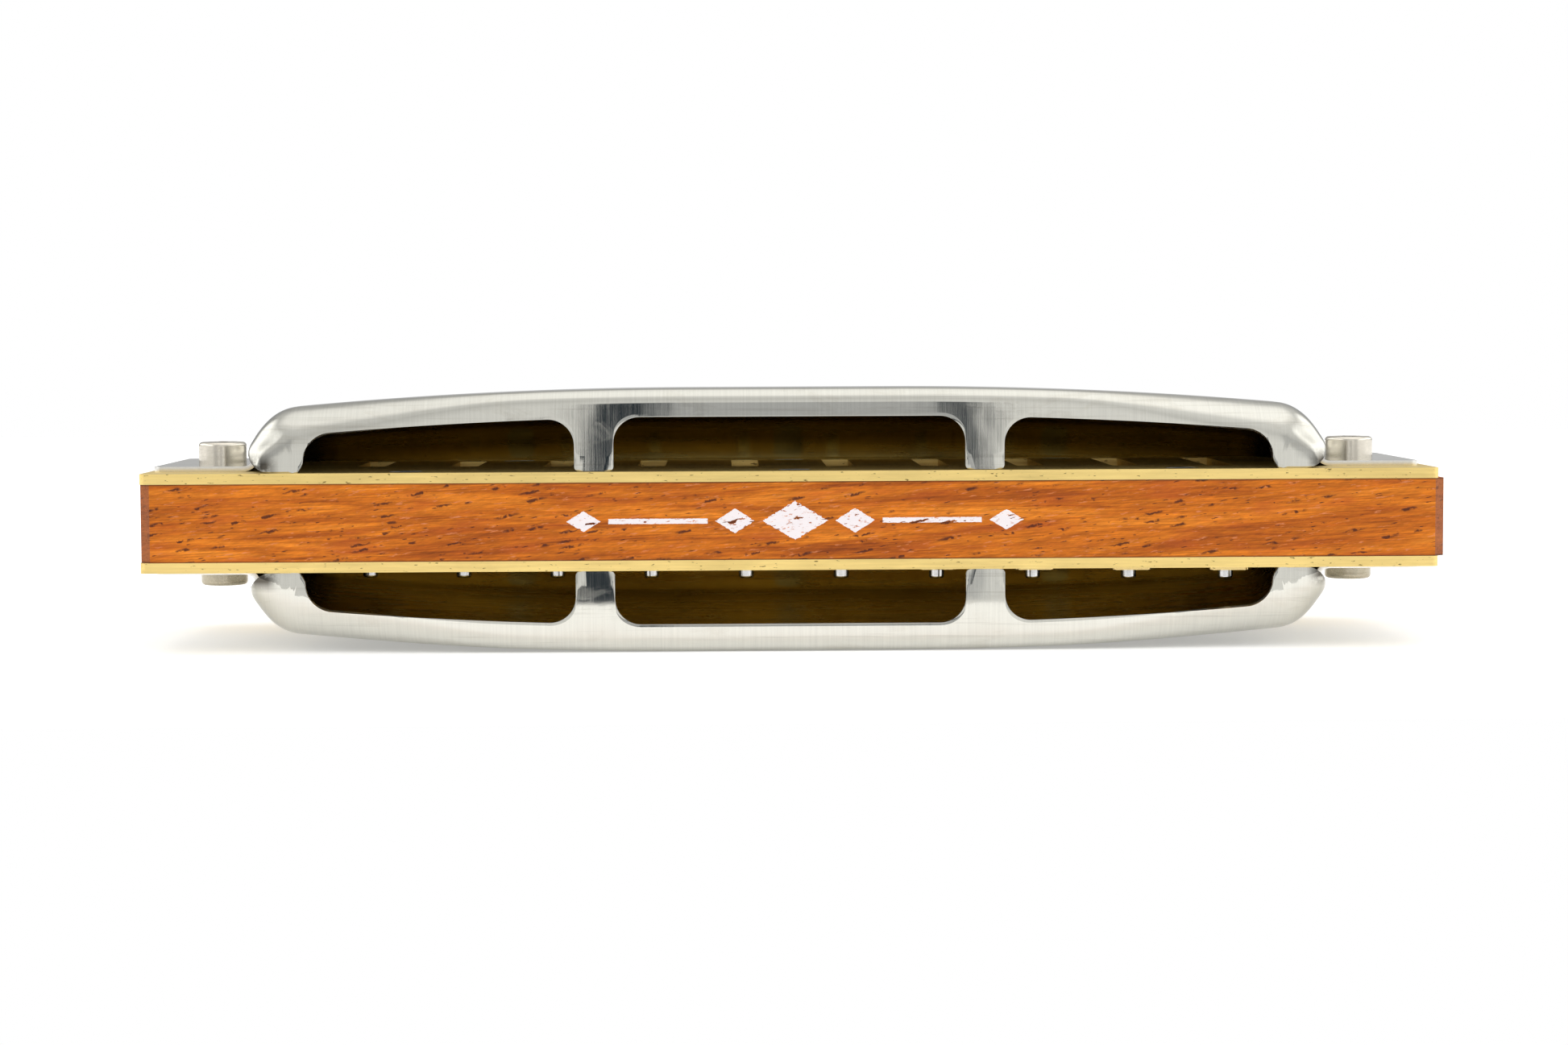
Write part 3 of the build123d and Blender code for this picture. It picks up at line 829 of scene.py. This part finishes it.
def cut_tab_holes(bm, centre_x):
    """Round holes for the long screws, cut through the flat tabs."""
    radius = TAB_HOLE_RADIUS * MM
    middle_y = (screws_low.y + screws_high.y) / 2
    for screw_x in (screws_low.x + SCREW_RADIUS * MM, screws_high.x - SCREW_RADIUS * MM):
        middle = Vector((screw_x - centre_x, middle_y, TAB_TOP * MM))

        def off_centre(point):
            return math.hypot(point.x - middle.x, point.y - middle.y)

        inside = [
            face
            for face in bm.faces
            if off_centre(face.calc_center_median()) < radius
            and abs(face.calc_center_median().z - middle.z) < 0.01 * MM
        ]
        rim = {vert for face in inside for vert in face.verts}
        bmesh.ops.delete(bm, geom=inside, context="FACES")
        for vert in rim:
            if vert.is_valid and vert.link_faces:
                reach = radius / off_centre(vert.co)
                vert.co.x = middle.x + (vert.co.x - middle.x) * reach
                vert.co.y = middle.y + (vert.co.y - middle.y) * reach


def give_thickness(cover):
    """Turn the skin into a sheet, with its other two materials inside and on its edges."""
    solid = cover.modifiers.new("sheet", "SOLIDIFY")
    solid.thickness = SHEET * MM
    solid.offset = -1.0
    solid.material_offset = 1
    solid.material_offset_rim = 2
    bevel = cover.modifiers.new("worn_edges", "BEVEL")
    bevel.width = WORN_EDGE * MM
    bevel.segments = 3
    bevel.limit_method = "ANGLE"
    bevel.angle_limit = math.radians(50)
    cover.modifiers.new("even_normals", "WEIGHTED_NORMAL")


def build_cover(name, inside, turned):
    """One cover in place of its CAD node. turned is true for the one that lies upside down."""
    low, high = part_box(name)
    centre_x = (low.x + high.x) / 2
    skin = Skin()
    for flip in (1, -1):
        build_half(skin, flip)
    bm = skin.bm
    cut_at_plate(bm)
    turn_outwards(bm)
    cut_tab_holes(bm, centre_x)
    if turned:
        half_turn = Matrix.Rotation(math.pi, 3, "Y")
        bmesh.ops.rotate(bm, verts=bm.verts, cent=(0, 0, 0), matrix=half_turn)
    bmesh.ops.translate(bm, verts=bm.verts, vec=(centre_x, 0, 0))
    for face in bm.faces:
        face.smooth = True
    mesh = bpy.data.meshes.new(f"{name}_sheet")
    bm.to_mesh(mesh)
    bm.free()
    for material in (COVER_STEEL, inside, CUT_EDGE):
        mesh.materials.append(material)
    cover = bpy.data.objects.new(f"{name}_sheet", mesh)
    scene.collection.objects.link(cover)
    give_thickness(cover)
    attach(cover, "stack")
    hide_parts(name)


build_cover("upper_cover", UPPER_INSIDE_PAINTED_DARK, False)
build_cover("lower_cover", LOWER_INSIDE_PAINTED_LIGHT, True)


# ---------------------------------------------------------------- reeds

# In mm. The foot narrows to the tongue over its last bit, and the tongue is filed thin in
# its middle.
REED_EASE = 0.03
FOOT_CORNER = 0.4
FOOT_SHOULDER = 0.45
REED_THINNED = 0.28
THINNED_PART = 0.9


def reed_sections(foot_length, tongue_length, foot_half, tongue_half, foot_thick, tongue_thick):
    """(distance from the foot's end, half width, thickness) along one strip of brass."""
    sections = []
    for angle in [0.0] + spread(0.0, math.pi / 2, 5):
        along = FOOT_CORNER * (1 - math.cos(angle))
        half = foot_half - FOOT_CORNER * (1 - math.sin(angle))
        sections.append((along, half, foot_thick))
    for along in spread(FOOT_CORNER, foot_length - FOOT_SHOULDER, 6):
        sections.append((along, foot_half, foot_thick))
    for step in spread(0.0, 1.0, 8):
        half = foot_half + (tongue_half - foot_half) * math.sin(step * math.pi / 2) ** 2
        thick = foot_thick + (tongue_thick - foot_thick) * smooth_step(step, 0.3, 1.0)
        sections.append((foot_length - FOOT_SHOULDER * (1 - step), half, thick))
    for step in spread(0.0, 1.0, 48):
        thinned = REED_THINNED * math.sin(math.pi * min(step / THINNED_PART, 1.0)) ** 2
        along = foot_length + tongue_length * step
        sections.append((along, tongue_half, tongue_thick * (1 - thinned)))
    return sections


def strip_ring(half, thick):
    """The strip's cross-section in mm, down from its upper face, with eased edges."""
    ease = min(REED_EASE, thick / 3)
    return [
        (half - ease, 0.0),
        (half, -ease),
        (half, ease - thick),
        (half - ease, -thick),
        (ease - half, -thick),
        (-half, ease - thick),
        (-half, -ease),
        (ease - half, 0.0),
    ]


def build_reed(name):
    """One strip: a riveted foot and its tongue, in one mesh."""
    foot_low, foot_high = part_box(f"{name}_foot")
    tongue_low, tongue_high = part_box(name)
    forward = 1.0 if tongue_high.y > foot_high.y else -1.0
    if forward > 0:
        start_y, root_y, tip_y = foot_low.y, foot_high.y, tongue_high.y
    else:
        start_y, root_y, tip_y = foot_high.y, foot_low.y, tongue_low.y
    face_z = foot_high.z
    centre_x = (foot_low.x + foot_high.x) / 2
    sections = reed_sections(
        abs(root_y - start_y) / MM,
        abs(tip_y - root_y) / MM,
        (foot_high.x - foot_low.x) / 2 / MM,
        (tongue_high.x - tongue_low.x) / 2 / MM,
        (foot_high.z - foot_low.z) / MM,
        (tongue_high.z - tongue_low.z) / MM,
    )
    bm = bmesh.new()
    rings = []
    for along, half, thick in sections:
        y = start_y + forward * along * MM
        ring = strip_ring(half, thick)
        rings.append([bm.verts.new((centre_x + x * MM, y, face_z + z * MM)) for x, z in ring])
    for left, right in zip(rings, rings[1:]):
        for corner in range(len(left)):
            after = (corner + 1) % len(left)
            bm.faces.new((left[corner], left[after], right[after], right[corner]))
    bm.faces.new(rings[0])
    bm.faces.new(rings[-1])
    bmesh.ops.recalc_face_normals(bm, faces=bm.faces)
    mesh = bpy.data.meshes.new(f"{name}_strip")
    bm.to_mesh(mesh)
    bm.free()
    mesh.materials.append(REED_BRASS)
    reed = bpy.data.objects.new(f"{name}_strip", mesh)
    scene.collection.objects.link(reed)
    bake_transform(reed)
    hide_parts(name, f"{name}_foot")


for hole in HOLES:
    for kind in ("blow", "draw"):
        build_reed(f"{kind}_reed_{hole}")


# ---------------------------------------------------------------- studio

FLOOR_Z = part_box("lower_cover")[0].z
FLOOR_WIDTH = 0.9
FLOOR_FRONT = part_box("comb")[0].y - 0.042
FLOOR_BACK = 0.5


def add_floor():
    """A pale table, which ends a little in front of the harmonica."""
    mesh = bpy.data.meshes.new("floor")
    corners = [
        (-FLOOR_WIDTH / 2, FLOOR_FRONT, FLOOR_Z),
        (FLOOR_WIDTH / 2, FLOOR_FRONT, FLOOR_Z),
        (FLOOR_WIDTH / 2, FLOOR_BACK, FLOOR_Z),
        (-FLOOR_WIDTH / 2, FLOOR_BACK, FLOOR_Z),
    ]
    mesh.from_pydata(corners, [], [(0, 1, 2, 3)])
    floor = bpy.data.objects.new("floor", mesh)
    scene.collection.objects.link(floor)
    material, _, _ = new_material(
        "floor",
        Base_Color=(0.8, 0.8, 0.8, 1.0),
        Roughness=0.9,
        Emission_Color=(1.0, 1.0, 0.99, 1.0),
        Emission_Strength=0.25,
    )
    mesh.materials.append(material)


add_floor()


def add_area_light(name, place, size, power):
    """A soft light that looks at the middle of the harmonica, and doesn't show in metal."""
    data = bpy.data.lights.new(name, "AREA")
    data.shape = "RECTANGLE"
    data.size, data.size_y = size
    data.energy = power
    light = bpy.data.objects.new(name, data)
    light.location = place
    light.rotation_euler = (-Vector(place)).to_track_quat("-Z", "Y").to_euler()
    light.visible_glossy = False
    scene.collection.objects.link(light)


add_area_light("key_left", (-0.42, -0.30, 0.34), (0.35, 0.35), 0.6)
add_area_light("key_right", (0.42, -0.30, 0.34), (0.35, 0.35), 0.6)
add_area_light("top", (0.0, 0.05, 0.55), (0.5, 0.4), 0.7)


def within(g, value, low, high, low_soft, high_soft):
    """1 between low and high, falling softly to 0 outside."""
    rise = g.math("DIVIDE", g.math("SUBTRACT", value, low - low_soft), low_soft, clamp=True)
    fall = g.math("DIVIDE", g.math("SUBTRACT", high + high_soft, value), high_soft, clamp=True)
    return g.math("MULTIPLY", rise, fall)


def studio_walls(g, right, ahead, up):
    """White walls and ceiling, softboxes at both sides, and a dimmer patch beside each."""
    walls = g.ramp(
        g.math("ADD", g.math("MULTIPLY", up, 0.5), 0.5),
        [
            (0.0, (0.88, 0.88, 0.86)),
            (0.5, (0.90, 0.90, 0.89)),
            (0.75, (0.73, 0.73, 0.72)),
            (0.87, (0.86, 0.86, 0.85)),
            (0.94, (1.28, 1.27, 1.25)),
            (1.0, (1.30, 1.30, 1.28)),
        ],
    )
    # The far wall is dimmer, and the right side a little brighter
    depth = g.ramp(ahead, [(0.1, 1.0), (0.55, 0.85), (0.95, 0.55)])
    walls = g.mix(1.0, walls, depth, "MULTIPLY")
    sides = g.math("ADD", g.math("MULTIPLY", right, 0.5), 0.5)
    walls = g.mix(1.0, walls, g.ramp(sides, [(0.35, 0.95), (0.65, 1.15)]), "MULTIPLY")
    aside = g.math("ABSOLUTE", right)
    softboxes = g.math(
        "MULTIPLY",
        within(g, aside, 0.66, 0.93, 0.12, 0.05),
        within(g, up, 0.22, 0.62, 0.10, 0.12),
    )
    walls = g.mix(softboxes, walls, (1.75, 1.75, 1.73))
    dusk = g.math(
        "MULTIPLY",
        within(g, aside, 0.30, 0.52, 0.10, 0.10),
        within(g, up, -0.10, 0.35, 0.10, 0.15),
    )
    return g.mix(g.math("MULTIPLY", dusk, 0.45), walls, (0.30, 0.31, 0.32))


def wall_behind(g, walls, right, ahead, up):
    """What the harmonica's rear faces: a grey gap with a dark stand at each side of it.

    Its limits are in degrees, to the right of straight behind and above the level.
    """
    behind = g.math("MULTIPLY", ahead, -1.0)
    azimuth = g.math("MULTIPLY", g.math("ARCTAN2", right, behind), DEGREES_PER_RADIAN)
    elevation = g.math("MULTIPLY", g.math("ARCSINE", up), DEGREES_PER_RADIAN)
    level = within(g, elevation, -12.0, 4.5, 3.0, 5.0)
    gap = g.math("MULTIPLY", within(g, azimuth, -2.0, 4.8, 0.5, 0.4), level)
    walls = g.mix(gap, walls, (0.55, 0.56, 0.57))
    left_stand = g.math("MULTIPLY", within(g, azimuth, -2.5, -1.45, 0.08, 0.6), level)
    left_base = g.math(
        "MULTIPLY",
        within(g, azimuth, -3.0, -1.45, 0.1, 0.6),
        within(g, elevation, -12.0, -3.6, 3.0, 0.5),
    )
    right_stand = g.math(
        "MULTIPLY",
        within(g, azimuth, 4.45, 5.0, 0.4, 0.12),
        within(g, elevation, -3.0, 4.5, 1.0, 5.0),
    )
    stands = g.math("MAXIMUM", g.math("MAXIMUM", left_stand, left_base), right_stand)
    return g.mix(stands, walls, (0.012, 0.022, 0.034))


def build_world():
    """A bright studio that the metal reflects, in front of a plain white ground."""
    world = bpy.data.worlds.new("studio")
    scene.world = world
    world.use_nodes = True
    tree = world.node_tree
    tree.nodes.clear()
    g = Graph(tree)
    direction = g.add("ShaderNodeTexCoord").outputs["Generated"]
    right, ahead, up = g.add("ShaderNodeSeparateXYZ", {0: direction}).outputs
    walls = wall_behind(g, studio_walls(g, right, ahead, up), right, ahead, up)
    seen = g.add("ShaderNodeLightPath").outputs["Is Camera Ray"]
    colour = g.mix(seen, walls, (1.0, 1.0, 1.0))
    background = g.add("ShaderNodeBackground", {"Color": colour, "Strength": 1.0})
    output = g.add("ShaderNodeOutputWorld")
    tree.links.new(background.outputs[0], output.inputs[0])


build_world()


# The camera looks level along +Y at yaw 0, to the right for a yaw and down for a pitch above 0
CAMERA_PLACE = (-0.00568, -0.2437, 0.01413)
CAMERA_YAW = math.radians(1.2)
CAMERA_PITCH = math.radians(3.551)
CAMERA_ROLL = math.radians(0.2522)
CAMERA_LENS = 69.12


def add_camera():
    """The camera stands behind the harmonica, a little above it."""
    ahead = Vector((math.sin(CAMERA_YAW), math.cos(CAMERA_YAW), 0.0))
    level = Vector((math.cos(CAMERA_YAW), -math.sin(CAMERA_YAW), 0.0))
    forward = ahead * math.cos(CAMERA_PITCH)
    forward.z = -math.sin(CAMERA_PITCH)
    upright = level.cross(forward)
    right = math.cos(CAMERA_ROLL) * level - math.sin(CAMERA_ROLL) * upright
    up = math.cos(CAMERA_ROLL) * upright + math.sin(CAMERA_ROLL) * level
    data = bpy.data.cameras.new("camera")
    data.sensor_width = 36.0
    data.lens = CAMERA_LENS
    data.clip_start = 0.005
    camera = bpy.data.objects.new("camera", data)
    turn = Matrix((right, up, -forward)).transposed().to_4x4()
    camera.matrix_world = Matrix.Translation(CAMERA_PLACE) @ turn
    scene.collection.objects.link(camera)
    scene.camera = camera


add_camera()
scene.view_settings.view_transform = "Standard"
